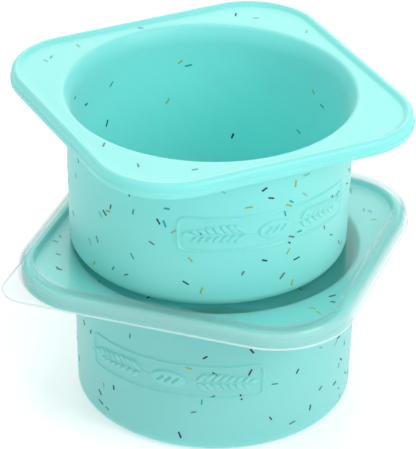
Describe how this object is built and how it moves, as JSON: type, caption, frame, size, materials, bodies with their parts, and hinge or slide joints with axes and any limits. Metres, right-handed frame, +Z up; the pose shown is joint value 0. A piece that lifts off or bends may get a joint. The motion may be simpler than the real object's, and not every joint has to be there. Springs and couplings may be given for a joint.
{
  "type": "dough proofing container",
  "caption": "Stack of two speckled silicone tubs for proofing dough, each a round cup with a square flange, with a thin clear fitted lid between them.",
  "frame": {"origin": "middle of the lower tub's base, on the surface that the stack stands on", "axes": "+Z up along the stack; -Y towards the side of the lower tub that has the badge; X along the lower flange's sides"},
  "size_m": [0.1622, 0.1622, 0.133],
  "materials": {
    "silicone": "satin mint silicone with small dark, blue and ochre flecks",
    "lid_plastic": "clear, slightly frosted thin plastic"
  },
  "bodies": {
    "lower_tub": {"lower_tub": "silicone"},
    "lid": {"lid": "lid_plastic"},
    "upper_tub": {"upper_tub": "silicone"}
  },
  "joints": [
    {"name": "lid_lift", "type": "slide", "parent": "lower_tub", "child": "lid", "axis": [0, 0, 1], "range_m": [0, 0.06]},
    {"name": "upper_tub_lift", "type": "slide", "parent": "lid", "child": "upper_tub", "axis": [0, 0, 1], "range_m": [0, 0.1]}
  ]
}
